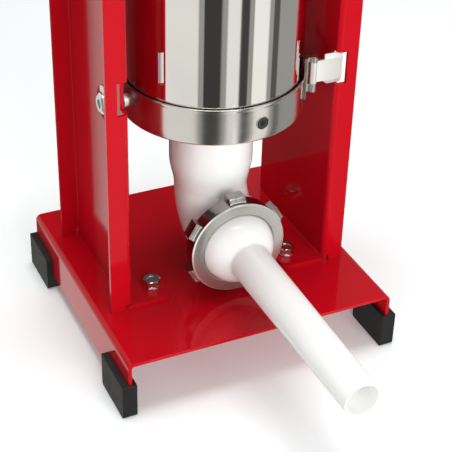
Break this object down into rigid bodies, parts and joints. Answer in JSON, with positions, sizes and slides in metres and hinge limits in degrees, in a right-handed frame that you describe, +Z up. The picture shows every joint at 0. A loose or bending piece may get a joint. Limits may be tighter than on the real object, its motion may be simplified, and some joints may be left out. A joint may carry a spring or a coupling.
{
  "type": "sausage stuffer",
  "caption": "Upright hand-cranked sausage stuffer: a steel cylinder in a red frame, with a rack-driven piston above and a white stuffing tube at the front.",
  "frame": {"origin": "centre of the bottom of the whole machine's box, on the surface it stands on", "axes": "+Z up, -Y to the front where the stuffing tube points, +X to the crank side"},
  "size_m": [0.345, 0.3768, 0.551],
  "materials": {
    "red_paint": "glossy red powder coat over folded steel",
    "black_rubber": "matte moulded rubber",
    "seal_rubber": "smooth black seal rubber",
    "polished_steel": "mirror-polished stainless sheet",
    "satin_steel": "satin stainless with fine turning marks",
    "zinc_fastener": "bright zinc-plated fasteners",
    "gear_steel": "machined steel, lightly greased",
    "bronze": "sintered bronze",
    "white_plastic": "glossy food-grade plastic",
    "nylon": "natural nylon",
    "black_plastic": "turned black plastic"
  },
  "bodies": {
    "frame": {"base_plate": "red_paint", "foot_front_left": "black_rubber", "foot_front_right": "black_rubber", "foot_rear_left": "black_rubber", "foot_rear_right": "black_rubber", "column_left": "red_paint", "column_right": "red_paint", "base_bolts": "zinc_fastener", "base_nuts": "zinc_fastener", "cylinder_cup": "satin_steel", "cup_screw": "satin_steel", "cylinder": "polished_steel", "cylinder_seal": "seal_rubber", "pivot_bolts": "zinc_fastener", "pivot_nuts": "zinc_fastener", "latch_bracket": "satin_steel", "latch_pin": "satin_steel", "elbow": "white_plastic", "elbow_gasket": "seal_rubber", "stuffing_tube": "white_plastic", "gear_case": "red_paint", "gear_case_lid": "red_paint", "rack_guide": "nylon", "bearing_cheek_left": "gear_steel", "bearing_cheek_right": "gear_steel", "slow_shaft_bushes": "bronze", "crank_shaft_bushes": "bronze", "crank_outer_bush": "bronze", "lid_screws": "zinc_fastener", "guide_screws": "zinc_fastener", "cheek_screws": "zinc_fastener", "case_bolts": "zinc_fastener", "case_nuts": "zinc_fastener"},
    "latch": {"latch_plate": "satin_steel"},
    "nut_washer": {"slip_washer": "satin_steel"},
    "ring_nut": {"ring_nut": "satin_steel"},
    "rack": {"rack": "gear_steel", "piston": "nylon", "piston_seal": "seal_rubber", "piston_bolt": "zinc_fastener", "piston_washer": "satin_steel", "rack_stop": "black_plastic"},
    "air_valve": {"air_valve": "white_plastic", "air_valve_seal": "seal_rubber", "air_valve_clip": "satin_steel"},
    "slow_shaft": {"slow_shaft": "gear_steel", "rack_pinion": "gear_steel", "drive_gear": "gear_steel", "gear_spacer": "gear_steel", "shaft_spacers": "gear_steel", "slow_shaft_collars": "gear_steel"},
    "crank": {"crank_shaft": "gear_steel", "crank_pinion": "gear_steel", "crank_shaft_collars": "gear_steel", "crank_arm": "satin_steel", "crank_washer": "zinc_fastener", "crank_screw": "zinc_fastener", "grip_pin": "satin_steel", "grip_pin_nut": "zinc_fastener"},
    "grip": {"grip": "black_plastic"}
  },
  "joints": [
    {"name": "rack_slide", "type": "slide", "parent": "frame", "child": "rack", "axis": [0, 0, 1], "range_m": [0, 0.208]},
    {"name": "slow_shaft_spin", "type": "hinge", "parent": "frame", "child": "slow_shaft", "pos_m": [-0.05155, 0.0881, 0.486], "axis": [1, 0, 0], "range_deg": [-870, 2]},
    {"name": "crank_spin", "type": "hinge", "parent": "frame", "child": "crank", "pos_m": [-0.05155, 0.11798, 0.51107], "axis": [1, 0, 0], "range_deg": [-5, 2900]},
    {"name": "grip_spin", "type": "hinge", "parent": "crank", "child": "grip", "pos_m": [0.11845, 0.11798, 0.37107], "axis": [1, 0, 0], "continuous": true},
    {"name": "air_valve_lift", "type": "slide", "parent": "rack", "child": "air_valve", "axis": [0, 0, 1], "range_m": [0, 0.003]},
    {"name": "latch_swing", "type": "hinge", "parent": "frame", "child": "latch", "pos_m": [0.01545, 0.02735, 0.231], "axis": [0, 0, -1], "range_deg": [0, 80]},
    {"name": "nut_travel", "type": "slide", "parent": "frame", "child": "nut_washer", "axis": [0, -1, 0], "range_m": [0, 0.0101]},
    {"name": "nut_spin", "type": "hinge", "parent": "nut_washer", "child": "ring_nut", "pos_m": [-0.05155, 0.01785, 0.0955], "axis": [0, -1, 0], "range_deg": [0, 1200]}
  ],
  "couplings": [
    {"joint": "slow_shaft_spin", "follows": "rack_slide", "rad_per_m": -72.727},
    {"joint": "crank_spin", "follows": "rack_slide", "rad_per_m": 242.42},
    {"joint": "nut_travel", "follows": "nut_spin", "m_per_rad": 0.00047746}
  ]
}
